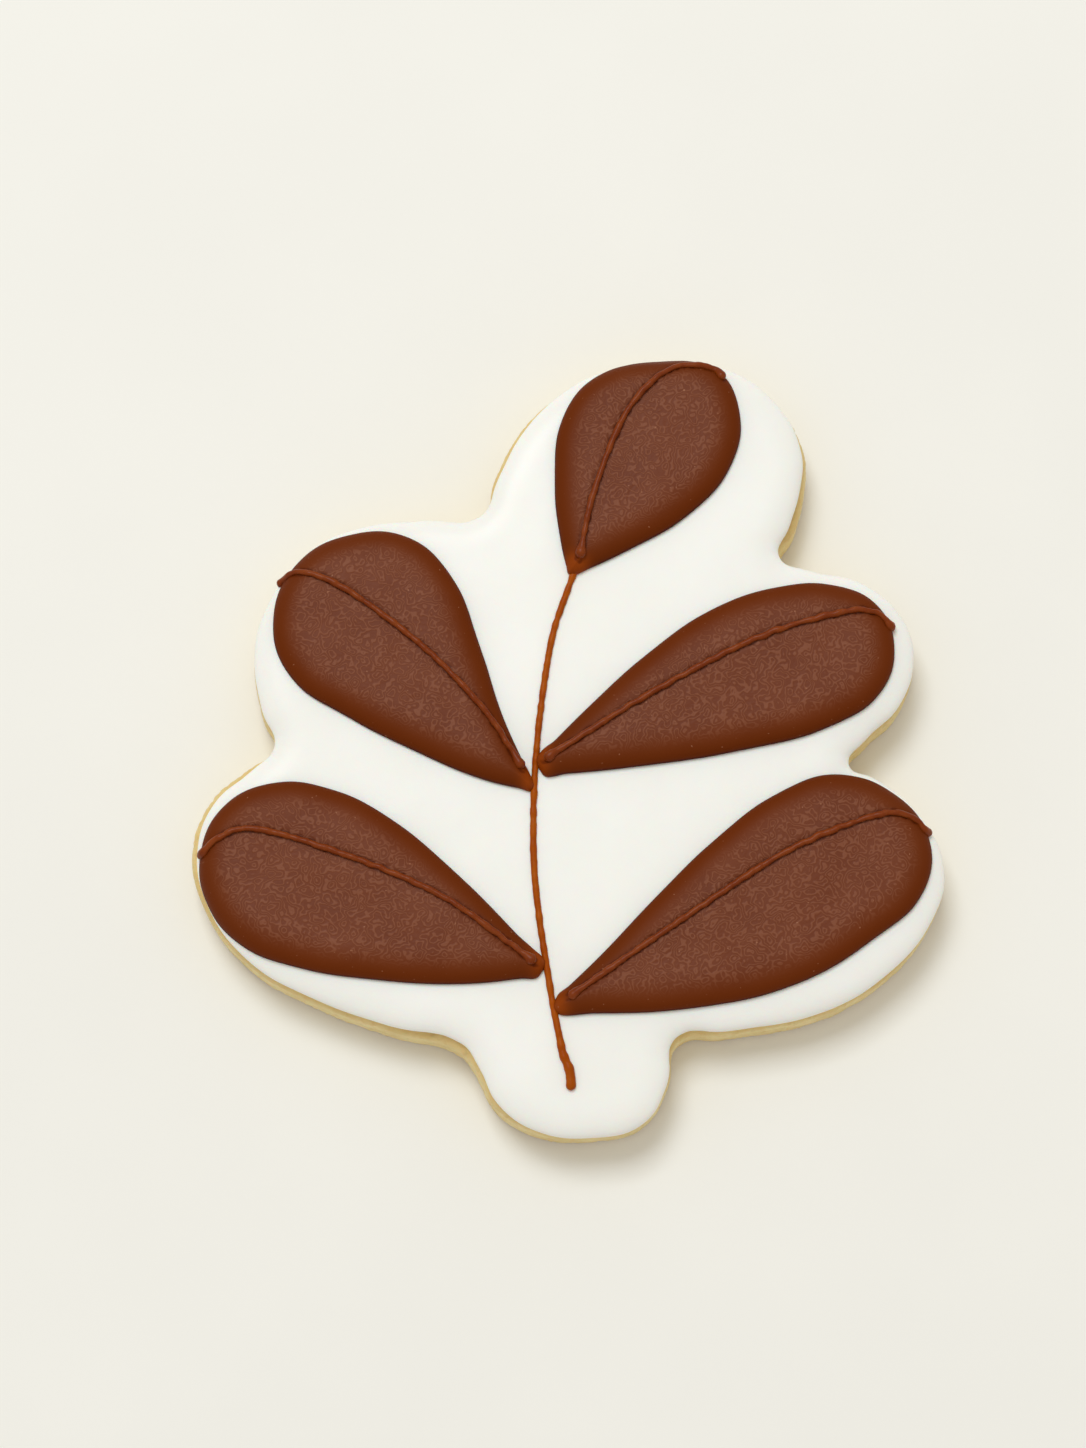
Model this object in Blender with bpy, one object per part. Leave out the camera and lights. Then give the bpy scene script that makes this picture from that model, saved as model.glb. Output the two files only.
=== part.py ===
"""An iced sugar cookie in the shape of a leafy sprig, lying flat with its iced side up.

One baked cookie carries a flood of white icing. On the icing lie five puffed leaves, a piped stem
and a piped midrib on each leaf. Everything is built in metres, with +Z up and the origin under the
middle of the cookie. The outlines are listed in millimetres, as seen from above.
"""

import bmesh
import bpy
from mathutils import Vector
from mathutils.bvhtree import BVHTree

MM = 0.001
GAP = 0.3 * MM  # clearance between a piece and the one that it lies on

COOKIE_THICKNESS = 7.0 * MM
COOKIE_EDGE = 1.3 * MM  # radius of the baked rim, above and below
ICING_THICKNESS = 2.3 * MM
ICING_EDGE = 1.1 * MM  # radius of the flooded icing's rounded side
LEAF_THICKNESS = 2.1 * MM
# A leaf's dome in steps from its outline: (height, size), both as shares of the whole.
LEAF_DOME = [(0.30, 1.0), (0.62, 0.965), (0.82, 0.91), (0.93, 0.82), (0.98, 0.60), (1.0, 0.25)]
LINE_RADIUS = 0.45 * MM  # half the width of a piped line
STEEPEST = 0.8  # how fast a piped line may fall where it runs over a leaf's edge

LOOP_STEPS = 4  # segments between two knots of an outline
LINE_STEPS = 3  # segments between two knots of a piped line

ICING_BASE = COOKIE_THICKNESS + GAP
ICING_TOP = ICING_BASE + ICING_THICKNESS
LEAF_BASE = ICING_TOP + GAP

# The cutter's outline, clockwise from the upper left notch: (x, y, how far the icing stops short).
COOKIE_OUTLINE = [
    (-11.5, 29.7, 0.3), (-9.7, 34.8, 0.8), (-6.6, 41.0, 0.9), (-1.4, 46.2, 0.7),
    (4.0, 49.1, 0.6), (12.0, 50.2, 0.5), (20.5, 49.6, 0.5), (27.3, 45.0, 0.6),
    (30.9, 38.2, 0.8), (30.8, 33.0, 0.9), (29.4, 27.8, 1.0), (27.7, 24.3, 0.6),
    (31.0, 22.7, 0.4), (37.5, 21.2, 0.5), (42.8, 16.6, 0.4), (44.5, 11.0, 0.4),
    (42.5, 4.5, 0.4), (38.0, -0.1, 0.4), (36.0, -2.9, 0.4), (39.0, -4.4, 0.4),
    (44.3, -8.7, 0.4), (47.8, -16.4, 0.4), (46.0, -23.2, 0.4), (40.0, -30.3, 0.5),
    (32.0, -34.9, 0.5), (20.0, -37.3, 0.5), (13.9, -38.3, 0.8), (12.7, -43.4, 0.4),
    (9.4, -48.5, 0.2), (3.0, -50.2, 0.1), (-4.5, -49.5, 0.4), (-9.4, -46.3, 0.7),
    (-11.8, -41.9, 0.8), (-13.8, -39.4, 1.1), (-22.3, -37.0, 0.8), (-32.6, -33.1, 0.6),
    (-40.5, -28.5, 0.6), (-46.3, -21.0, 0.8), (-47.9, -13.5, 1.1), (-45.6, -7.2, 1.1),
    (-40.8, -3.0, 1.0), (-37.7, -0.5, 0.4), (-39.3, 3.8, 0.4), (-40.4, 11.8, 0.4),
    (-39.1, 17.2, 0.4), (-33.5, 25.2, 0.5), (-26.8, 28.4, 0.5), (-18.5, 29.4, 0.5),
]

# Each leaf: its outline from one corner of the narrow base, round the fat outer end, to the other
# corner, and the crown that its dome rises to.
LEAVES = {
    "leaf_top": {
        "outline": [
            (0.0, 21.5), (-0.9, 25.5), (-1.7, 33.5), (-0.5, 42.5), (4.0, 48.0), (12.0, 50.1),
            (18.8, 49.0), (22.1, 43.0), (20.9, 35.7), (15.6, 29.4), (7.5, 24.5), (1.0, 21.4),
        ],
        "crown": (9.5, 38.5),
    },
    "leaf_upper_left": {
        "outline": [
            (-5.0, -6.6), (-11.0, -5.1), (-19.0, -1.7), (-28.0, 2.9), (-35.2, 8.0), (-37.6, 15.0),
            (-34.7, 23.0), (-28.0, 26.7), (-20.5, 26.3), (-15.0, 21.3), (-11.2, 12.0), (-8.3, 3.0),
            (-5.0, -4.4),
        ],
        "crown": (-25.0, 14.0),
    },
    "leaf_upper_right": {
        "outline": [
            (-3.1, -1.6), (2.5, 4.1), (10.0, 11.0), (18.5, 16.9), (27.0, 19.8), (34.0, 20.0),
            (39.4, 17.4), (41.5, 12.0), (39.6, 6.0), (33.5, 1.8), (22.0, -1.4), (8.0, -3.6),
            (-3.0, -4.7),
        ],
        "crown": (28.0, 9.5),
    },
    "leaf_lower_left": {
        "outline": [
            (-3.9, -30.2), (-13.0, -31.1), (-24.0, -30.6), (-34.0, -29.0), (-41.0, -26.2),
            (-45.4, -21.0), (-46.4, -15.0), (-43.5, -8.6), (-37.0, -5.6), (-30.0, -6.4),
            (-23.0, -9.8), (-14.0, -17.2), (-4.2, -27.2),
        ],
        "crown": (-32.0, -18.0),
    },
    "leaf_lower_right": {
        "outline": [
            (-1.3, -32.6), (4.0, -27.5), (11.0, -20.1), (18.5, -12.8), (26.5, -6.9), (34.0, -4.5),
            (41.3, -7.0), (45.4, -12.5), (44.6, -19.4), (38.0, -25.6), (28.5, -31.1),
            (15.0, -34.2), (-0.8, -34.9),
        ],
        "crown": (32.0, -17.0),
    },
}

# Each midrib from the leaf's base to its outer edge, and the stem from the top leaf downwards.
MIDRIBS = {
    "midrib_top": [(1.6, 24.0), (3.4, 32.1), (7.6, 42.5), (13.2, 48.2), (18.2, 48.6), (20.2, 47.0)],
    "midrib_upper_left": [
        (-6.4, -2.9), (-10.5, 3.3), (-18.2, 11.4), (-28.2, 19.0), (-34.4, 21.4), (-36.9, 20.0),
    ],
    "midrib_upper_right": [
        (-2.0, -2.2), (10.8, 5.8), (24.4, 12.9), (35.6, 16.2), (39.6, 15.8), (41.2, 14.0),
    ],
    "midrib_lower_left": [
        (-5.2, -27.8), (-16.0, -20.2), (-28.8, -14.8), (-39.3, -11.8), (-44.0, -13.0), (-46.3, -15.2),
    ],
    "midrib_lower_right": [
        (1.6, -31.8), (14.3, -23.1), (27.4, -14.6), (38.5, -10.1), (43.0, -10.2), (45.4, -12.4),
    ],
}
STEM = [
    (0.3, 20.4), (-2.1, 12.9), (-3.8, 1.1), (-4.4, -9.4), (-4.1, -19.1), (-2.4, -31.0),
    (-1.2, -37.5), (0.3, -44.4),
]
# Width of the stem at each of its knots, as a share of a piped line's width.
STEM_WIDTHS = [0.8, 1.0, 1.0, 1.1, 1.1, 1.1, 1.4, 0.9]


def clear_scene():
    for thing in list(bpy.data.objects):
        bpy.data.objects.remove(thing, do_unlink=True)


def paint(name, colour, roughness):
    """A matt food surface of one colour."""
    material = bpy.data.materials.new(name)
    material.use_nodes = True
    shader = material.node_tree.nodes["Principled BSDF"]
    shader.inputs["Base Color"].default_value = (*colour, 1.0)
    shader.inputs["Roughness"].default_value = roughness
    shader.inputs["Metallic"].default_value = 0.0
    return material


def bezier_loop(name, knots, corners=()):
    """A closed flat outline in metres, smooth through its knots except at the listed corners."""
    curve = bpy.data.curves.new(name, "CURVE")
    curve.dimensions = "2D"
    curve.fill_mode = "BOTH"
    curve.resolution_u = LOOP_STEPS
    spline = curve.splines.new("BEZIER")
    spline.bezier_points.add(len(knots) - 1)
    spline.use_cyclic_u = True
    for i, (point, (x, y)) in enumerate(zip(spline.bezier_points, knots)):
        point.co = (x, y, 0.0)
        point.handle_left_type = "VECTOR" if i in corners else "AUTO"
        point.handle_right_type = point.handle_left_type
    return curve


def as_mesh(curve, name, height, collection, material):
    """The curve turned into a closed mesh object whose middle lies at the given height."""
    guide = bpy.data.objects.new(name + "_guide", curve)
    guide.location.z = height
    collection.objects.link(guide)
    bpy.context.view_layer.update()
    evaluated = guide.evaluated_get(bpy.context.evaluated_depsgraph_get())
    mesh = bpy.data.meshes.new_from_object(evaluated)
    body = bmesh.new()
    body.from_mesh(mesh)
    bmesh.ops.remove_doubles(body, verts=body.verts, dist=0.001 * MM)
    bmesh.ops.recalc_face_normals(body, faces=body.faces)
    body.to_mesh(mesh)
    body.free()
    mesh.name = name
    mesh.materials.clear()
    mesh.materials.append(material)
    mesh.shade_smooth()
    piece = bpy.data.objects.new(name, mesh)
    piece.matrix_world = guide.matrix_world
    collection.objects.link(piece)
    bpy.data.objects.remove(guide, do_unlink=True)
    bpy.data.curves.remove(curve)
    return piece


def slab(name, knots, base, thickness, edge, collection, material):
    """A flat layer with a rounded side, whose widest line follows the outline."""
    curve = bezier_loop(name, knots)
    curve.extrude = thickness / 2 - edge
    curve.bevel_depth = edge
    curve.bevel_resolution = 1
    curve.offset = -edge
    return as_mesh(curve, name, base + thickness / 2, collection, material)


def moved_in(knots, distances):
    """Knots of a clockwise outline, each moved towards the inside by its own distance."""
    moved = []
    for i, knot in enumerate(knots):
        along = (Vector(knots[(i + 1) % len(knots)]) - Vector(knots[i - 1])).normalized()
        inward = Vector((along.y, -along.x))
        moved.append(tuple(Vector(knot) + inward * distances[i]))
    return moved


def puffed_leaf(name, outline, crown, collection, material):
    """A flat-bottomed leaf drawn up from its outline towards the crown in ever smaller steps."""
    knots = [(x * MM, y * MM) for x, y in outline]
    curve = bezier_loop(name, knots, corners=(0, len(knots) - 1))
    piece = as_mesh(curve, name, LEAF_BASE, collection, material)
    body = bmesh.new()
    body.from_mesh(piece.data)
    top = bmesh.ops.dissolve_faces(body, faces=body.faces)["region"][0]
    centre = Vector(crown) * MM
    height = 0.0
    size = 1.0
    for high, wide in LEAF_DOME:
        old = top
        lifted = bmesh.ops.extrude_face_region(body, geom=[old])["geom"]
        top = next(part for part in lifted if isinstance(part, bmesh.types.BMFace))
        if height > 0.0:
            bmesh.ops.delete(body, geom=[old], context="FACES_ONLY")
        bmesh.ops.translate(body, vec=(0.0, 0.0, (high - height) * LEAF_THICKNESS), verts=top.verts)
        for corner in top.verts:
            corner.co.xy = centre + (corner.co.xy - centre) * wide / size
        height = high
        size = wide
    bmesh.ops.recalc_face_normals(body, faces=body.faces)
    body.to_mesh(piece.data)
    body.free()
    piece.data.shade_smooth()
    return piece


def surface_under(pieces):
    """The upper surfaces of some pieces as one search tree in world space."""
    body = bmesh.new()
    for piece in pieces:
        lowered = piece.data.copy()
        lowered.transform(piece.matrix_world)
        body.from_mesh(lowered)
        bpy.data.meshes.remove(lowered)
    tree = BVHTree.FromBMesh(body)
    body.free()
    return tree


def line_points(knots):
    """Evenly stepped points of a smooth curve through flat knots, by the Catmull-Rom rule."""
    ends = [2 * knots[0] - knots[1], *knots, 2 * knots[-1] - knots[-2]]
    points = []
    for a, b, c, d in zip(ends, ends[1:], ends[2:], ends[3:]):
        for step in range(LINE_STEPS):
            t = step / LINE_STEPS
            points.append(0.5 * (2 * b + (c - a) * t + (2 * a - 5 * b + 4 * c - d) * t**2
                                 + (3 * b - a - 3 * c + d) * t**3))
    points.append(knots[-1])
    return points


def piped_line(name, knots, widths, below, collection, material):
    """A round line of icing that lies a gap clear of the pieces below it."""
    flat = line_points([Vector((x * MM, y * MM, w)) for (x, y), w in zip(knots, widths)])
    tree = surface_under(below)
    curve = bpy.data.curves.new(name, "CURVE")
    curve.dimensions = "3D"
    curve.bevel_depth = LINE_RADIUS
    curve.bevel_resolution = 2
    curve.use_fill_caps = True
    spline = curve.splines.new("POLY")
    spline.points.add(len(flat) - 1)
    before = flat[0].xy
    height = 0.0
    for point, (x, y, width) in zip(spline.points, flat):
        reach = LINE_RADIUS * width
        place = Vector((x, y, 2 * LEAF_BASE))
        struck = tree.ray_cast(place, Vector((0.0, 0.0, -1.0)))[0]
        lowest = height - STEEPEST * (Vector((x, y)) - before).length
        place.z = max(struck.z + GAP + reach, lowest) if struck else lowest
        for _ in range(8):
            near = tree.find_nearest(place)[0]
            away = place - near
            short = GAP + reach - away.length
            if short > 0.0:
                place += away.normalized() * short
        point.co = (*place, 1.0)
        point.radius = width
        before = place.xy
        height = place.z
    return as_mesh(curve, name, 0.0, collection, material)


def build():
    clear_scene()
    cookie_parts = bpy.data.collections.new("iced_sugar_cookie")
    bpy.context.scene.collection.children.link(cookie_parts)
    baked = paint("baked_dough", (0.68, 0.54, 0.28), 0.8)
    white = paint("white_icing", (0.90, 0.89, 0.84), 0.45)
    brown = paint("leaf_icing", (0.17, 0.055, 0.028), 0.55)
    rust = paint("midrib_icing", (0.20, 0.050, 0.018), 0.45)
    amber = paint("stem_icing", (0.38, 0.10, 0.020), 0.45)

    rim = [(x * MM, y * MM) for x, y, _ in COOKIE_OUTLINE]
    short = [stop * MM for _, _, stop in COOKIE_OUTLINE]
    slab("cookie", rim, 0.0, COOKIE_THICKNESS, COOKIE_EDGE, cookie_parts, baked)
    flood = slab("white_icing", moved_in(rim, short), ICING_BASE, ICING_THICKNESS, ICING_EDGE,
                 cookie_parts, white)
    leaves = [puffed_leaf(name, leaf["outline"], leaf["crown"], cookie_parts, brown)
              for name, leaf in LEAVES.items()]
    for leaf, (name, knots) in zip(leaves, MIDRIBS.items()):
        piped_line(name, knots, [1.0] * len(knots), [leaf, flood], cookie_parts, rust)
    piped_line("stem", STEM, STEM_WIDTHS, [flood], cookie_parts, amber)


build()
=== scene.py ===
# %% [markdown]
# # An iced sugar cookie
# A sugar cookie cut as a leafy sprig lies flat with its iced side up. It has a pale gold baked base, a
# flood of white icing, five puffed brown leaves, a piped stem, and a piped midrib on each leaf. The
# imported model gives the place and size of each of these. This script makes a fine surface for each piece.

# %% Load the frame
import math

import bmesh
import bpy
import numpy as np
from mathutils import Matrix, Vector


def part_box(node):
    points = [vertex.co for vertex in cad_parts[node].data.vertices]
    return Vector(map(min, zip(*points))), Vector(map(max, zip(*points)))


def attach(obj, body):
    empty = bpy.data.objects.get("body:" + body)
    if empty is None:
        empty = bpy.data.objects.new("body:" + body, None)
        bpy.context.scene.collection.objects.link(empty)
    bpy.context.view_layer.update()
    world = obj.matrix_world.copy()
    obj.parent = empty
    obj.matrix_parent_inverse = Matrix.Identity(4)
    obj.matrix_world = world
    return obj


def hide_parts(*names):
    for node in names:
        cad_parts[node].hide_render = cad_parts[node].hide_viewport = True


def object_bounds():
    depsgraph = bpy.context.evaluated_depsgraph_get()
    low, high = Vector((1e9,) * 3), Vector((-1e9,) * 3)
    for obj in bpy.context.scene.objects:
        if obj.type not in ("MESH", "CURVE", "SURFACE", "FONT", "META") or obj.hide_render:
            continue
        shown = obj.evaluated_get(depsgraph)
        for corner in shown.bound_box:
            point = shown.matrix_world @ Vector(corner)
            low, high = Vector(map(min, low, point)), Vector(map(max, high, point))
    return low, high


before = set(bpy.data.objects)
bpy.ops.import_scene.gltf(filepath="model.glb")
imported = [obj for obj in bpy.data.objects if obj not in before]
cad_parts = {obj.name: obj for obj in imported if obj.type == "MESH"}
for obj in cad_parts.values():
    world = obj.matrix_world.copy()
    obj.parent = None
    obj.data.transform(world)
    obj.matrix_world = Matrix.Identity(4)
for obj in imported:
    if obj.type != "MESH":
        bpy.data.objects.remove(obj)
cad_low, cad_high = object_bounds()
MM = 0.001
LEAVES = ["top", "upper_left", "upper_right", "lower_left", "lower_right"]
print("frame", sorted(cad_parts), "box in mm", [round(side / MM, 1) for side in cad_high - cad_low])

# %% [markdown]
# ## Reading an outline from the frame
# A layer of this cookie is known by its outline seen from above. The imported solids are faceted, so a new
# piece can't just copy them. Instead the corners at one height of a solid are sorted by their angle round
# the middle, and a smooth curve through them is stepped into even lengths. That gives the true outline
# with no facets.

# %% Outlines
def points_of(node):
    """The corners of a solid, each once, in metres."""
    corners = np.array([v.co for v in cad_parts[node].data.vertices])
    return np.unique(np.round(corners / MM, 3), axis=0) * MM


def even_steps(loop, count):
    """A closed line of points stepped again into equal lengths."""
    closed = np.vstack([loop, loop[:1]])
    lengths = np.linalg.norm(np.diff(closed, axis=0), axis=1)
    travelled = np.concatenate([[0.0], np.cumsum(lengths)])
    wanted = np.arange(count) * travelled[-1] / count
    return np.stack([np.interp(wanted, travelled, closed[:, axis]) for axis in range(loop.shape[1])], axis=1)


def smooth_loop(corners, count):
    """A closed Catmull-Rom curve through the corners, in even steps."""
    before, after, later = (np.roll(corners, shift, axis=0) for shift in (1, -1, -2))
    parts = []
    for t in np.arange(8) / 8:
        parts.append(0.5 * (2 * corners + (after - before) * t
                            + (2 * before - 5 * corners + 4 * after - later) * t**2
                            + (3 * corners - before - 3 * after + later) * t**3))
    return even_steps(np.stack(parts, axis=1).reshape(-1, 2), count)


def outline_of(node, height, count):
    """The outline of a solid at one height above its base, anticlockwise from its right-hand side."""
    corners = points_of(node)
    level = corners[:, 2].min() + height
    ring = corners[np.abs(corners[:, 2] - level) < 0.02 * MM][:, :2]
    crown = corners[corners[:, 2] > corners[:, 2].max() - 0.02 * MM][:, :2]
    middle = (crown.min(axis=0) + crown.max(axis=0)) / 2
    angles = np.arctan2(ring[:, 1] - middle[1], ring[:, 0] - middle[0])
    return smooth_loop(ring[np.argsort(angles)], count)


AT_ONCE = 4000  # places measured together, which keeps the memory small


def edge_distance(places, loop):
    """How far each place lies inside a closed outline; it is negative outside."""
    start = loop[::4]
    along = np.roll(start, -1, axis=0) - start
    result = np.empty(len(places))
    for first in range(0, len(places), AT_ONCE):
        block = places[first:first + AT_ONCE]
        offset = block[:, None, :] - start[None]
        share = np.clip((offset * along).sum(axis=2) / (along**2).sum(axis=1), 0.0, 1.0)
        gap = np.sqrt(((offset - share[..., None] * along) ** 2).sum(axis=2).min(axis=1))
        rises = (start[None, :, 1] > block[:, None, 1]) != ((start + along)[None, :, 1] > block[:, None, 1])
        slope = np.where(along[:, 1] == 0.0, 1e-12, along[:, 1])
        crossing = start[None, :, 0] + offset[..., 1] * along[:, 0] / slope
        inside = (rises & (block[:, None, 0] < crossing)).sum(axis=1) % 2 == 1
        result[first:first + AT_ONCE] = np.where(inside, gap, -gap)
    return result


COOKIE_STEPS = 1280
LEAF_STEPS = 800
cookie_loop = outline_of("cookie", 1.3 * MM, COOKIE_STEPS)
icing_loop = outline_of("white_icing", 1.1 * MM, COOKIE_STEPS)
leaf_loops = {name: outline_of("leaf_" + name, 0.0, LEAF_STEPS) for name in LEAVES}
print("outlines in mm:", [np.round(np.ptp(loop, axis=0) / MM, 1).tolist()
                          for loop in (cookie_loop, icing_loop, *leaf_loops.values())])

# %% [markdown]
# ## Building a layer ring by ring
# Each layer is a flat shape with a shaped side. By hand it would be a filled circle, pulled onto the
# outline, extruded upwards again and again, and drawn in or out a little each time. The helper below does
# just that. The rings come as a list, so the side's profile stays in a few readable lines for each piece.

# %% Rings into a solid
def only(thing):
    """Selects one object and makes it active."""
    bpy.ops.object.select_all(action="DESELECT")
    thing.select_set(True)
    bpy.context.view_layer.objects.active = thing


def ring_solid(name, rings):
    """A closed piece whose skin runs through the rings, from the first flat cap to the last."""
    bpy.ops.object.select_all(action="DESELECT")
    bpy.ops.mesh.primitive_circle_add(vertices=len(rings[0]), radius=0.01, fill_type="NGON")
    piece = bpy.context.object
    piece.name = piece.data.name = name
    order = piece.data.attributes.new("order", "INT", "POINT")
    order.data.foreach_set("value", np.arange(len(rings[0])))
    for vertex, place in zip(piece.data.vertices, rings[0]):
        vertex.co = place
    bpy.ops.object.mode_set(mode="EDIT")
    bpy.ops.mesh.select_all(action="SELECT")
    for ring in rings[1:]:
        bpy.ops.mesh.extrude_region_move()
        body = bmesh.from_edit_mesh(piece.data)
        layer = body.verts.layers.int["order"]
        for vertex in body.verts:
            if vertex.select:
                vertex.co = ring[vertex[layer]]
        bmesh.update_edit_mesh(piece.data)
    bpy.ops.object.mode_set(mode="OBJECT")
    piece.data.attributes.remove(piece.data.attributes["order"])
    return piece


def finish_mesh(piece):
    """Turns the faces outwards and shades them smooth."""
    only(piece)
    bpy.ops.object.mode_set(mode="EDIT")
    bpy.ops.mesh.select_all(action="SELECT")
    bpy.ops.mesh.normals_make_consistent(inside=False)
    bpy.ops.object.mode_set(mode="OBJECT")
    bpy.ops.object.shade_smooth()
    return piece


def inward(loop):
    """The direction into the shape at each point of an anticlockwise outline."""
    along = np.roll(loop, -2, axis=0) - np.roll(loop, 2, axis=0)
    along /= np.linalg.norm(along, axis=1)[:, None]
    return np.stack([-along[:, 1], along[:, 0]], axis=1)


def ring_at(loop, inset, height, scale=1.0):
    """The outline drawn in by a distance, then shrunk towards the middle, at a height."""
    middle = (loop.min(axis=0) + loop.max(axis=0)) / 2
    drawn = middle + (loop + inward(loop) * inset - middle) * scale
    return np.column_stack([drawn, np.full(len(drawn), height)])


def vertex_places(piece):
    places = np.empty(len(piece.data.vertices) * 3)
    piece.data.vertices.foreach_get("co", places)
    return places.reshape(-1, 3)


def move_vertices(piece, places):
    piece.data.vertices.foreach_set("co", places.ravel())
    piece.data.update()


# %% [markdown]
# ## Unevenness
# Dough and icing are never quite even. Waves of many directions, added together, give an uneven field
# that is smooth, repeats nowhere on the piece and is the same on every run. One length of wave gives
# wrinkles, and a spread of lengths gives lumps.

# %% Wave fields
def waves(places, length, count, seed, spread=0.25):
    """A field between about -1 and 1 made of waves near one length, for places in two or three axes."""
    draw = np.random.default_rng(seed)
    directions = draw.normal(size=(count, places.shape[1]))
    directions /= np.linalg.norm(directions, axis=1)[:, None]
    pace = 2 * math.pi / (length * (1 + spread * draw.uniform(-1, 1, count)))
    start = draw.uniform(0, 2 * math.pi, count)
    total = np.zeros(len(places))
    for direction, speed, phase in zip(directions, pace, start):
        total += np.cos(places @ (direction * speed) + phase)
    return total / math.sqrt(count)


# %% [markdown]
# ## The baked cookie
# The dough was rolled flat and cut, so its side is nearly upright, a little wider at the foot, with a
# soft rim where the heat rounded it. The cut side shows a fine crumb with small pits. Its underside is
# flat with a faint print of the baking tray. The rings run from the middle of the underside out, up the
# side and in over the top.

# %% Cookie
COOKIE_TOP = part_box("cookie")[1].z
FOOT_ROUND = 0.8 * MM
RIM_ROUND = 1.1 * MM
UNDERSIDE_STEPS = (0.03, 0.15, 0.3, 0.45, 0.6, 0.72, 0.82, 0.9, 0.96, 0.985)
rings = [ring_at(cookie_loop, FOOT_ROUND, 0.0, scale) for scale in UNDERSIDE_STEPS]
for turn in np.radians([0, 25, 50, 75]):
    rings.append(ring_at(cookie_loop, FOOT_ROUND * (1 - math.sin(turn)), FOOT_ROUND * (1 - math.cos(turn))))
for rise in np.linspace(FOOT_ROUND, COOKIE_TOP - RIM_ROUND, 22):
    rings.append(ring_at(cookie_loop, 0.25 * MM * (rise / COOKIE_TOP) ** 2, rise))
for turn in np.radians([20, 42, 64, 84]):
    rings.append(ring_at(cookie_loop, 0.25 * MM + RIM_ROUND * (1 - math.cos(turn)),
                         COOKIE_TOP - RIM_ROUND * (1 - math.sin(turn))))
for scale in (0.985, 0.95, 0.8, 0.5, 0.25, 0.03):
    rings.append(ring_at(cookie_loop, 1.6 * MM, COOKIE_TOP, scale))
cookie = finish_mesh(ring_solid("baked_cookie", rings))

places = vertex_places(cookie)
normals = np.empty(len(places) * 3)
cookie.data.vertices.foreach_get("normal", normals)
normals = normals.reshape(-1, 3)
wall = np.clip(places[:, 2] / (0.6 * MM), 0.0, 1.0)
crumb = (0.055 * waves(places, 1.1 * MM, 40, 1, 0.5) + 0.035 * waves(places, 0.6 * MM, 40, 2, 0.4)
         + 0.05 * waves(places, 6 * MM, 24, 3, 0.5))
pits = -0.45 * np.clip(waves(places, 1.7 * MM, 40, 4, 0.5) - 1.7, 0.0, 0.7)
cracks = -0.10 * np.clip(waves(places[:, :2], 1.5 * MM, 30, 6, 0.5) - 1.1, 0.0, 0.9)
ragged = 0.10 * np.minimum(waves(places[:, :2], 2.8 * MM, 30, 7, 0.5) - 0.6, 0.0)
ragged *= np.exp(-places[:, 2] / (1.2 * MM))
relief = (np.minimum(crumb, 0.03) - 0.09 + pits + cracks + ragged) * MM * wall
places += normals * relief[:, None]
under = places[:, 2] < 0.3 * MM
places[under, 2] += 0.05 * MM * np.clip(waves(places[under, :2], 1.6 * MM, 30, 5, 0.5) + 0.3, 0.0, 1.5)
places[:, 2] = np.maximum(places[:, 2], 0.0)
move_vertices(cookie, places)
print("cookie", len(cookie.data.polygons), "faces, relief in mm", round(np.ptp(relief) / MM, 2))

# %% [markdown]
# ## The white icing
# Thin royal icing is flooded onto the cookie and levels itself. Its surface tension leaves a full round
# side that bulges a little over its foot and rolls over slowly onto a nearly flat top. A profile function
# holds that roll, because the leaves and the stem that lie on the icing need its height as well.

# %% White icing
ICING_BULGE = COOKIE_TOP + 0.9 * MM  # height of the side's widest line
ICING_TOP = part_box("white_icing")[1].z - 0.1 * MM
ICING_ROLL = 4.2 * MM  # how far in from the edge the top still falls
ICING_FULLNESS = 2.6  # a higher number rounds the side more and flattens the top


def roll(inset, reach, power):
    """A rounded step from 0 at the edge to 1 at its reach."""
    share = np.clip(inset / reach, 0.0, 1.0)
    return (1 - (1 - share) ** power) ** 0.5


def icing_profile(inset):
    """Height of an even icing's top at a distance in from its outline."""
    return ICING_BULGE + (ICING_TOP - ICING_BULGE) * roll(inset, ICING_ROLL, ICING_FULLNESS)


def icing_height(places, inset=None):
    """Height of the icing's top, with its slow swell, at places seen from above."""
    depth = edge_distance(places, icing_loop) if inset is None else inset
    swell = 0.045 * MM * waves(places, 16 * MM, 12, 11, 0.4)
    return icing_profile(depth) + swell * np.clip(depth / (2 * MM), 0, 1)


icing_foot = COOKIE_TOP - 0.15 * MM
rings = [ring_at(icing_loop, 0.5 * MM, icing_foot, 0.4), ring_at(icing_loop, 0.5 * MM, icing_foot, 0.97)]
for inset, rise in ((0.40, -0.14), (0.20, 0.05), (0.06, 0.35), (0.0, 0.65), (0.0, 0.90)):
    rings.append(ring_at(icing_loop, inset * MM, COOKIE_TOP + rise * MM))
for inset in (0.02, 0.06, 0.14, 0.26, 0.42, 0.65, 0.95, 1.3, 1.7):
    rings.append(ring_at(icing_loop, inset * MM, icing_profile(inset * MM)))
for scale in (0.985, 0.965, 0.94, 0.91, 0.87, 0.82, 0.76, 0.68, 0.58, 0.46, 0.32, 0.16, 0.03):
    rings.append(ring_at(icing_loop, 1.7 * MM, ICING_TOP, scale))
icing = finish_mesh(ring_solid("flooded_icing", rings))
places = vertex_places(icing)
depth = edge_distance(places[:, :2], icing_loop)
upper = (depth > 0.5 * MM) & (places[:, 2] > ICING_BULGE)
places[upper, 2] = icing_height(places[upper, :2], depth[upper])
move_vertices(icing, places)
print("icing", len(icing.data.polygons), "faces, thickness in mm", round(np.ptp(places[:, 2]) / MM, 2))

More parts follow.
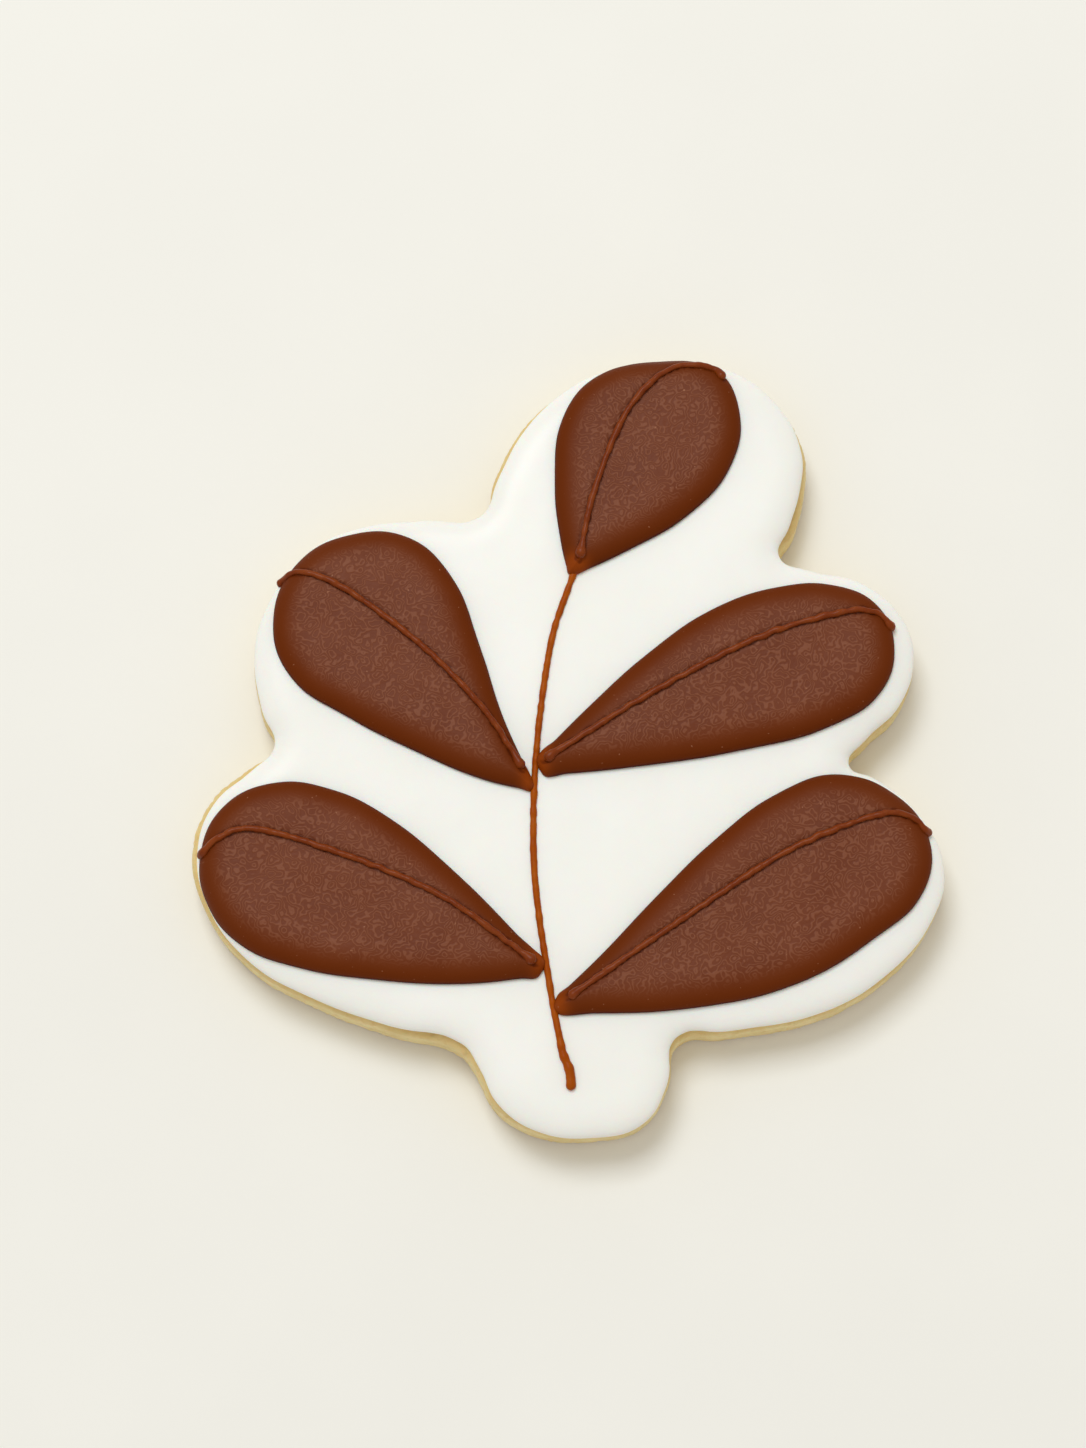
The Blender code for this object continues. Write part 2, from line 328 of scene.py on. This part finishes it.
# %% [markdown]
# ## The stem's route
# The frame holds the stem and the midribs as thin tubes. A tube's corners fall into small rings, so
# corners that lie close together are gathered into one ring, and the rings' middles are chained from one
# end to the other. The chain gives the route and the radius of each piped line.

# %% Routes
def route_of(node, near):
    """Middles of a tube's rings, chained from the end that is nearest to any of some places."""
    left = points_of(node)
    middles = []
    while len(left):
        group = np.array([0])
        while True:
            close = np.linalg.norm(left[:, None] - left[group][None], axis=2).min(axis=1) < 0.5 * MM
            if close.sum() == len(group):
                break
            group = np.nonzero(close)[0]
        middles.append(left[group].mean(axis=0))
        left = np.delete(left, group, axis=0)
    middles = np.array(middles)
    away = np.linalg.norm(middles[:, None, :2] - near[None], axis=2).min(axis=1)
    chain = [int(np.argmin(away))]
    while len(chain) < len(middles):
        steps = np.linalg.norm(middles - middles[chain[-1]], axis=1)
        steps[chain] = np.inf
        chain.append(int(np.argmin(steps)))
    return middles[chain]


def fine_route(points, step=0.2 * MM):
    """A smooth open curve through points, in short even steps. It takes any number of columns."""
    ends = np.vstack([2 * points[0] - points[1], points, 2 * points[-1] - points[-2]])
    parts = []
    for a, b, c, d in zip(ends, ends[1:], ends[2:], ends[3:]):
        t = np.arange(12)[:, None] / 12
        parts.append(0.5 * (2 * b + (c - a) * t + (2 * a - 5 * b + 4 * c - d) * t**2
                            + (3 * b - a - 3 * c + d) * t**3))
    curve = np.vstack([*parts, points[-1:]])
    travelled = np.concatenate([[0.0], np.cumsum(np.linalg.norm(np.diff(curve[:, :2], axis=0), axis=1))])
    wanted = np.linspace(0.0, travelled[-1], max(2, round(travelled[-1] / step)))
    return np.stack([np.interp(wanted, travelled, curve[:, i]) for i in range(curve.shape[1])], axis=1)


def lengths_along(route):
    """How far along the route each point lies, seen from above."""
    return np.concatenate([[0.0], np.cumsum(np.linalg.norm(np.diff(route[:, :2], axis=0), axis=1))])


STEM_START = 2.0 * MM  # how far the stem runs on under the top leaf
RIB_SHORT = 0.9 * MM  # how far from the stem a midrib begins
far_end = np.array([[0.0, cad_high.y]])
stem_middles = route_of("stem", far_end)
first_way = stem_middles[0] - stem_middles[1]
stem_middles = np.vstack([stem_middles[0] + first_way / np.linalg.norm(first_way) * STEM_START, stem_middles])
stem_route = fine_route(stem_middles)
rib_routes = {}
for name in LEAVES:
    near = stem_route[:1, :2] if name == "top" else stem_route[:, :2]
    middles = route_of("midrib_" + name, near)
    gap = np.linalg.norm(near - middles[0, :2], axis=1).min()
    way = middles[0] - middles[2]
    reach = np.clip(gap - RIB_SHORT, 0.1 * MM, 2 * MM)
    middles = np.vstack([middles[0] + way / np.linalg.norm(way) * reach, middles])
    rib_routes[name] = fine_route(middles, 0.12 * MM)
print("stem", len(stem_middles), "rings; midribs in mm",
      {name: round(lengths_along(route)[-1] / MM, 1) for name, route in rib_routes.items()})

# %% [markdown]
# ## Leaves drawn onto the stem
# The leaf icing was piped up to the stem while both were soft, so the narrow end of each leaf runs into
# it. The outline is pulled towards the closest point of the stem, most at the point that is already
# closest.

# %% Narrow ends
WEB_REACH = 1.3 * MM


def drawn_to_stem(loop):
    """The outline with its narrow end pulled out onto the stem."""
    gaps = np.linalg.norm(loop[:, None] - stem_route[None, :, :2], axis=2)
    at, target = np.unravel_index(np.argmin(gaps), gaps.shape)
    pull = stem_route[target, :2] - loop[at]
    share = np.exp(-(np.linalg.norm(loop - loop[at], axis=1) / WEB_REACH) ** 2)
    return loop + share[:, None] * pull


leaf_loops = {name: drawn_to_stem(loop) for name, loop in leaf_loops.items()}

# %% [markdown]
# ## The puffed leaves
# A leaf is stiffer icing flooded inside its own outline. It stands proud of the white with a full round
# edge and crowns slowly towards its middle. Its skin dried with fine short wrinkles. The outline is built
# up by a few rings drawn in towards the fat end; the inside is closed by a grid fill, which gives even
# faces for the wrinkles. Each leaf's foot follows the icing's own surface, so it hangs over the rolled
# edge where it meets it.

# %% Leaves
LEAF_RISE = 2.2 * MM
LEAF_ROLL = 5.0 * MM  # how far in from the edge the leaf still rises
LEAF_FULLNESS = 3.0
RIB_RADIUS = 0.38 * MM


def leaf_rise(depth):
    """How high a leaf stands over the icing at a distance in from its outline."""
    return LEAF_RISE * (0.10 + 0.90 * roll(depth, LEAF_ROLL, LEAF_FULLNESS))


def leaf_ring(loop, scale, rise):
    middle = loop.mean(axis=0)
    drawn = middle + (loop - middle) * scale
    foot = icing_height(drawn) - 0.15 * MM
    return np.column_stack([drawn, foot + rise])


def make_leaf(name, loop, seed):
    rings = [leaf_ring(loop, scale, rise * MM) for scale, rise in ((0.990, 0.0), (0.997, 0.12), (1.0, 0.3))]
    for scale in (0.9985, 0.996, 0.992, 0.986, 0.978, 0.967, 0.952, 0.932):
        ring = leaf_ring(loop, scale, 0.0)
        ring[:, 2] += 0.15 * MM + leaf_rise(edge_distance(ring[:, :2], loop))
        rings.append(ring)
    leaf = ring_solid("puffed_leaf_" + name, rings)
    bpy.ops.object.mode_set(mode="EDIT")
    bpy.ops.mesh.delete(type="ONLY_FACE")
    bpy.ops.mesh.select_all(action="DESELECT")
    bpy.ops.mesh.select_mode(type="EDGE")
    bpy.ops.mesh.select_non_manifold(extend=False)
    bpy.ops.mesh.fill_grid(span=LEAF_STEPS // 4)
    bpy.ops.mesh.select_mode(type="VERT")
    bpy.ops.object.mode_set(mode="OBJECT")
    finish_mesh(leaf)
    places = vertex_places(leaf)
    depth = edge_distance(places[:, :2], loop)
    upper = (depth > 0.25 * MM) & (places[:, 2] > icing_height(places[:, :2]) + 0.25 * MM)
    places[upper, 2] = icing_height(places[upper, :2]) + leaf_rise(depth[upper])
    plateau = np.clip(depth / (4 * MM), 0.0, 1.0) * upper
    bend = 0.9 * MM * np.stack([waves(places[:, :2], 5 * MM, 12, seed + k, 0.4) for k in (1, 2)], axis=1)
    wrinkle = waves(places[:, :2] + bend, 0.6 * MM, 60, seed + 3, 0.18)
    from_rib = np.linalg.norm(places[:, None, :2] - rib_routes[name][None, ::4, :2], axis=2).min(axis=1)
    crease_and_shade = np.exp(-((from_rib - RIB_RADIUS) / (0.32 * MM)) ** 2) * upper
    crease_and_shade *= np.clip(0.75 + 0.4 * waves(places[:, :2], 1.3 * MM, 20, seed + 5, 0.5), 0.2, 1.3)
    places[:, 2] += plateau * MM * (0.009 * wrinkle + 0.03 * waves(places[:, :2], 7 * MM, 12, seed + 4, 0.4))
    places[:, 2] -= 0.09 * MM * crease_and_shade * np.clip(depth / MM, 0.0, 1.0)
    move_vertices(leaf, places)
    to_stem = np.linalg.norm(places[:, None, :2] - stem_route[None, ::6, :2], axis=2).min(axis=1)
    # The finish reads these: how far in from the edge, how close to the stem, and the crease by the midrib,
    # which the finish darkens with painted shade.
    shades = {
        "inside": np.clip(depth / (6 * MM), 0, 1),
        "by_stem": np.exp(-to_stem / (1.6 * MM)),
        "crease_and_shade": crease_and_shade,
    }
    for label, values in shades.items():
        leaf.data.attributes.new(label, "FLOAT", "POINT").data.foreach_set("value", values)
    print(leaf.name, len(leaf.data.polygons), "faces, top at", round(places[:, 2].max() / MM, 2), "mm")
    return leaf


leaves = {name: make_leaf(name, leaf_loops[name], 100 + 10 * i) for i, name in enumerate(LEAVES)}

# %% [markdown]
# ## The piped midribs and the stem
# A piped line is a soft cord of icing from a fine round tip. It sinks a little into what it lies on,
# swells where the hand slowed, and ends in a small blob where the tip was lifted. A curve with its own
# radius at each point is the natural tool. The curve is made a mesh, so the unevenness is in its shape.

# %% Piped lines
def surface_height(places, name):
    """Height of a leaf's top, or of the icing where no leaf is named."""
    ground = icing_height(places)
    if name is None:
        return ground
    depth = edge_distance(places, leaf_loops[name])
    return ground + np.where(depth > 0.0, leaf_rise(np.maximum(depth, 0.0)), 0.0)


def piped_line(title, route, seed):
    """A mesh cord along a route of x, y, z and radius, with a gentle unevenness."""
    data = bpy.data.curves.new(title, "CURVE")
    data.dimensions = "3D"
    data.bevel_depth = 1.0
    data.bevel_resolution = 5
    data.use_fill_caps = True
    spline = data.splines.new("POLY")
    spline.points.add(len(route) - 1)
    spline.points.foreach_set("co", np.column_stack([route[:, :3], np.ones(len(route))]).ravel())
    spline.points.foreach_set("radius", route[:, 3])
    line = bpy.data.objects.new(title, data)
    bpy.context.scene.collection.objects.link(line)
    only(line)
    bpy.ops.object.convert(target="MESH")
    line = bpy.context.object
    bpy.ops.object.mode_set(mode="EDIT")
    bpy.ops.mesh.select_all(action="SELECT")
    bpy.ops.mesh.remove_doubles(threshold=0.00001)
    bpy.ops.object.mode_set(mode="OBJECT")
    finish_mesh(line)
    places = vertex_places(line)
    normals = np.empty(len(places) * 3)
    line.data.vertices.foreach_get("normal", normals)
    bumps = 0.014 * waves(places, 0.8 * MM, 30, seed, 0.5) + 0.02 * waves(places, 2.2 * MM, 20, seed + 1, 0.4)
    move_vertices(line, places + normals.reshape(-1, 3) * bumps[:, None] * MM)
    print(title, len(line.data.polygons), "faces")
    return line


def rounded_ends(route, first, last):
    """Radii that swell into a blob at each end and close with a round tip."""
    travelled = np.concatenate([[0.0], np.cumsum(np.linalg.norm(np.diff(route[:, :2], axis=0), axis=1))])
    for size, away in ((first, travelled), (last, travelled[-1] - travelled)):
        swell = 1 + (size - 1) * np.exp(-((away - size * route[:, 3]) / (0.9 * MM)) ** 2)
        radius = route[:, 3] * swell
        tip = size * route[:, 3]
        close = np.sqrt(np.clip(1 - np.clip(1 - away / tip, 0, 1) ** 2, 0.0025, 1))
        route[:, 3] = np.where(away < tip, np.maximum(radius, tip * 0.9) * close, radius)
    return route


DRAPE = 9  # points of the route over which a midrib's height is evened out where it drapes over a leaf's edge
ribs = {}
for i, name in enumerate(LEAVES):
    middles = rib_routes[name]
    travelled = lengths_along(middles)
    sway = np.stack([waves(travelled[:, None], length * MM, 6, 400 + 10 * i + k, 0.4)
                     for k, length in enumerate((9.0, 2.6, 1.6))], axis=1)
    radius = RIB_RADIUS * (1 + 0.08 * sway[:, 0] + 0.05 * sway[:, 2])
    route = np.column_stack([middles, radius])
    route[:, 1] += 0.05 * MM * sway[:, 1]
    on_top = surface_height(route[:, :2], name) + 0.45 * RIB_RADIUS
    stretched = np.pad(on_top, DRAPE // 2, mode="edge")
    route[:, 2] = np.convolve(stretched, np.ones(DRAPE) / DRAPE, mode="valid")
    ribs[name] = piped_line("piped_midrib_" + name, rounded_ends(route, 1.7, 1.6), 200 + 10 * i)

STEM_RADIUS = 0.42 * MM
STEM_SWELL = 0.2 * MM
travelled = lengths_along(stem_route)
from_end = travelled[-1] - travelled
radius = STEM_RADIUS + STEM_SWELL * np.exp(-((from_end - 1.8 * MM) / (4.0 * MM)) ** 2)
radius *= 1 + 0.07 * waves(travelled[:, None], 1.7 * MM, 8, 500, 0.4)
height = surface_height(stem_route[:, :2], None) + 0.4 * radius
stem_line = np.column_stack([stem_route[:, :2], height, radius])
stem = piped_line("piped_stem", rounded_ends(stem_line, 1.0, 1.0), 300)

# %% [markdown]
# ## Finishes
# All of it is food with a soft gloss. The dough is matt, pale gold, a little browner at its rims. The
# icing is satin white, and light sinks a little way into it. The brown icing is a saturated chocolate
# whose wrinkled skin catches the light on its flat top; its colour also carries painted light: a painted
# sheen that makes the flat top paler, painted glints on the wrinkle ridges, a painted dark shade line at
# the very edge, and painted shade in the crease beside each midrib. Fine relief is added as bump on top
# of the modelled shape.

# %% Materials
def colour(red, green, blue):
    """A colour as a screen shows it, 0 to 255, in the linear values that a shader takes."""
    share = np.array([red, green, blue]) / 255
    linear = np.where(share <= 0.04045, share / 12.92, ((share + 0.055) / 1.055) ** 2.4)
    return (*linear.tolist(), 1.0)


class Finish:
    """A material with short ways to add and join nodes."""

    def __init__(self, name, roughness, **sockets):
        self.material = bpy.data.materials.new(name)
        self.material.use_nodes = True
        self.tree = self.material.node_tree
        self.shader = self.tree.nodes["Principled BSDF"]
        self.shader.inputs["Roughness"].default_value = roughness
        for socket, value in sockets.items():
            self.shader.inputs[socket.replace("_", " ")].default_value = value

    def node(self, kind, **values):
        """Adds a node. Values set its inputs by name, or its own settings."""
        made = self.tree.nodes.new(kind)
        for key, value in values.items():
            if hasattr(made, key):
                setattr(made, key, value)
            else:
                self.join(value, made.inputs[key.replace("_", " ")])
        return made

    def join(self, value, socket):
        if isinstance(value, bpy.types.NodeSocket):
            self.tree.links.new(value, socket)
        else:
            socket.default_value = value

    def mix(self, share, first, second, blend="MIX"):
        made = self.node("ShaderNodeMix", data_type="RGBA", blend_type=blend)
        for value, socket in ((share, made.inputs[0]), (first, made.inputs[6]), (second, made.inputs[7])):
            self.join(value, socket)
        return made.outputs[2]

    def ramp(self, value, low, high, to_low=0.0, to_high=1.0):
        made = self.node("ShaderNodeMapRange", interpolation_type="SMOOTHSTEP")
        for given, socket in zip((value, low, high, to_low, to_high), made.inputs):
            self.join(given, socket)
        return made.outputs[0]

    def noise(self, size, detail=3.0, roughness=0.55):
        """Noise whose lumps are about as large as size, in metres."""
        where = self.node("ShaderNodeTexCoord").outputs["Object"]
        return self.node("ShaderNodeTexNoise", Vector=where, Scale=1 / size, Detail=detail,
                         Roughness=roughness).outputs["Fac"]

    def bump(self, height, strength, distance):
        made = self.node("ShaderNodeBump", Height=height, Strength=strength, Distance=distance)
        previous = self.shader.inputs["Normal"]
        if previous.is_linked:
            self.join(previous.links[0].from_socket, made.inputs["Normal"])
        self.join(made.outputs["Normal"], previous)

    def height(self):
        where = self.node("ShaderNodeTexCoord").outputs["Object"]
        return self.node("ShaderNodeSeparateXYZ", Vector=where).outputs["Z"]


def baked_finish():
    made = Finish("baked_dough", 0.75, Subsurface_Weight=0.15, Subsurface_Scale=0.001)
    made.shader.inputs["Specular IOR Level"].default_value = 0.3
    pale = made.mix(made.ramp(made.noise(0.004), 0.35, 0.65), colour(228, 206, 148), colour(238, 220, 166))
    speckled = made.mix(made.ramp(made.noise(0.0008), 0.52, 0.72, 0.0, 0.4), pale, colour(212, 178, 112))
    # The dough's own browning at its top rim.
    rim_browning_and_shade = made.ramp(made.height(), 5.2 * MM, 7.0 * MM, 0.0, 0.55)
    golden = made.mix(rim_browning_and_shade, speckled, colour(214, 176, 100))
    under = made.ramp(made.height(), 0.9 * MM, 0.1 * MM, 0.0, 0.75)
    blotches = made.ramp(made.noise(0.006, 4.0), 0.35, 0.7)
    browned = made.mix(blotches, colour(205, 165, 96), colour(178, 128, 66))
    made.join(made.mix(under, golden, browned), made.shader.inputs["Base Color"])
    made.bump(made.noise(0.0006, 6.0, 0.65), 0.5, 0.0002)
    made.bump(made.noise(0.0018, 3.0), 0.3, 0.0003)
    return made.material


def white_finish():
    made = Finish("white_icing", 0.38, Subsurface_Weight=0.2, Subsurface_Scale=0.0015)
    made.shader.inputs["Specular IOR Level"].default_value = 0.35
    tint = made.mix(made.ramp(made.noise(0.012), 0.3, 0.7), colour(247, 247, 243), colour(245, 245, 240))
    made.join(tint, made.shader.inputs["Base Color"])
    made.bump(made.noise(0.0015, 4.0), 0.08, 0.0002)
    made.bump(made.noise(0.00025, 2.0), 0.04, 0.00005)
    return made.material


def leaf_finish():
    made = Finish("leaf_icing", 0.5)
    inside = made.node("ShaderNodeAttribute", attribute_name="inside").outputs["Fac"]
    by_stem = made.node("ShaderNodeAttribute", attribute_name="by_stem").outputs["Fac"]
    crease_and_shade = made.node("ShaderNodeAttribute", attribute_name="crease_and_shade").outputs["Fac"]
    made.join(made.ramp(inside, 0.15, 0.8, 0.04, 0.17), made.shader.inputs["Specular IOR Level"])
    # Painted sheen: body is the icing's brown made paler and pinker for the flat top, and slope blends from
    # the bare brown at the edge into it.
    body = made.mix(made.ramp(made.noise(0.006), 0.3, 0.7), colour(105, 49, 22), colour(111, 54, 26))
    slope = made.mix(made.ramp(inside, 0.0, 0.6), colour(103, 42, 6), body)
    # A painted dark shade line along the leaf's very edge.
    rim_browning_and_shade = made.mix(made.ramp(inside, 0.0, 0.035), colour(74, 18, 0), slope)
    folded = made.node("ShaderNodeMath", operation="PINGPONG")
    made.join(made.noise(0.0019, 1.5, 0.55), folded.inputs[0])
    folded.inputs[1].default_value = 0.05
    ridge = made.ramp(folded.outputs[0], 0.018, 0.044)
    flat = made.ramp(inside, 0.15, 0.7)
    wrinkle_ridges_and_glints = made.node("ShaderNodeMath", operation="MULTIPLY")
    made.join(ridge, wrinkle_ridges_and_glints.inputs[0])
    made.join(flat, wrinkle_ridges_and_glints.inputs[1])
    # Painted glints: the wrinkle ridges on the flat top are painted lighter and pinker; the same ridges also
    # drive the real bump.
    painted_wrinkle_glints = made.mix(made.ramp(wrinkle_ridges_and_glints.outputs[0], 0.0, 1.0, 0.0, 0.48), rim_browning_and_shade, colour(140, 86, 60))
    warm = made.mix(made.ramp(by_stem, 0.12, 0.6, 0.0, 0.9), painted_wrinkle_glints, colour(142, 62, 12))
    # Painted shade darkens the leaf in the crease beside the midrib.
    painted_shade_by_midrib = made.mix(made.ramp(crease_and_shade, 0.3, 1.0, 0.0, 0.55), warm, colour(72, 20, 4))
    specks = made.ramp(made.noise(0.0005, 1.0), 0.76, 0.80, 0.0, 0.5)
    made.join(made.mix(specks, painted_shade_by_midrib, colour(176, 122, 92)), made.shader.inputs["Base Color"])
    made.bump(wrinkle_ridges_and_glints.outputs[0], 0.45, 0.00006)
    made.bump(made.noise(0.0003, 3.0, 0.6), 0.25, 0.00005)
    return made.material


def line_finish(name, low, high, shine):
    made = Finish(name, 0.34, Subsurface_Weight=0.08, Subsurface_Scale=0.0006)
    made.shader.inputs["Specular IOR Level"].default_value = shine
    made.join(made.mix(made.ramp(made.noise(0.002), 0.35, 0.65), low, high), made.shader.inputs["Base Color"])
    made.bump(made.noise(0.0004, 3.0), 0.25, 0.00008)
    return made.material


FINISHES = {
    "baked_dough": baked_finish(),
    "white_icing": white_finish(),
    "leaf_icing": leaf_finish(),
    "midrib_icing": line_finish("midrib_icing", colour(116, 46, 6), colour(130, 58, 14), 0.15),
    "stem_icing": line_finish("stem_icing", colour(156, 68, 2), colour(168, 82, 6), 0.08),
}

# %% [markdown]
# ## Joining the pieces to the frame
# Each piece stands for one node of the frame and rides on the frame's only body.

# %% Ride, replace and finish
def settle(piece, node, slot):
    """Puts a finished piece in the place of its node."""
    piece.data.materials.clear()
    piece.data.materials.append(FINISHES[slot])
    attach(piece, "root")
    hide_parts(node)


settle(cookie, "cookie", "baked_dough")
settle(icing, "white_icing", "white_icing")
for name in LEAVES:
    settle(leaves[name], "leaf_" + name, "leaf_icing")
    settle(ribs[name], "midrib_" + name, "midrib_icing")
settle(stem, "stem", "stem_icing")

# %% [markdown]
# ## Table, light and camera
# The cookie lies on pale paper under a broad soft light from beyond its top left, with a weak even fill.
# The camera looks almost straight down from the near side.

# %% Stage
bpy.ops.object.select_all(action="DESELECT")
bpy.ops.mesh.primitive_plane_add(size=4.0, location=(0.0, 0.0, -0.00005))
floor = bpy.context.object
floor.name = "floor"
paper = Finish("pale_paper", 0.9)
paper.join(paper.mix(paper.ramp(paper.noise(0.05), 0.3, 0.7), colour(243, 242, 237), colour(245, 244, 239)),
           paper.shader.inputs["Base Color"])
floor.data.materials.append(paper.material)

KEY_WAY = Vector((-0.19, 0.43, 1.0)).normalized()
KEY_REACH = 1.6


def area_light(name, way, reach, size, power):
    data = bpy.data.lights.new(name, "AREA")
    data.shape = "SQUARE"
    data.size = size
    data.energy = power
    lamp = bpy.data.objects.new(name, data)
    lamp.location = way * reach
    lamp.rotation_euler = way.to_track_quat("Z", "Y").to_euler()
    bpy.context.scene.collection.objects.link(lamp)
    return lamp


key = area_light("key", KEY_WAY, KEY_REACH, 0.62, 11.7)
key.data.color = (0.93, 0.975, 1.0)
world = bpy.data.worlds.new("soft_room")
world.use_nodes = True
world.node_tree.nodes["Background"].inputs["Color"].default_value = (1.0, 0.955, 0.875, 1.0)
world.node_tree.nodes["Background"].inputs["Strength"].default_value = 0.6
bpy.context.scene.world = world
# The room itself is seen as plain pale paper, while it lights the cookie more weakly.
tree = world.node_tree
seen = tree.nodes.new("ShaderNodeBackground")
seen.inputs["Color"].default_value = colour(240, 238, 232)
rays = tree.nodes.new("ShaderNodeLightPath")
either = tree.nodes.new("ShaderNodeMixShader")
tree.links.new(rays.outputs["Is Camera Ray"], either.inputs[0])
tree.links.new(tree.nodes["Background"].outputs[0], either.inputs[1])
tree.links.new(seen.outputs[0], either.inputs[2])
tree.links.new(either.outputs[0], tree.nodes["World Output"].inputs["Surface"])

CAMERA_REACH = 0.45
CAMERA_TILT = math.radians(11.0)
aim = Vector((-3.2, 2.3, 8.0)) * MM
back = Vector((0.0, -math.sin(CAMERA_TILT), math.cos(CAMERA_TILT)))
lens = bpy.data.cameras.new("camera")
lens.lens = 88.0
lens.clip_start = 0.01
camera = bpy.data.objects.new("camera", lens)
camera.location = aim + back * CAMERA_REACH
camera.rotation_euler = back.to_track_quat("Z", "Y").to_euler()
bpy.context.scene.collection.objects.link(camera)
bpy.context.scene.camera = camera
bpy.context.scene.view_settings.view_transform = "Standard"
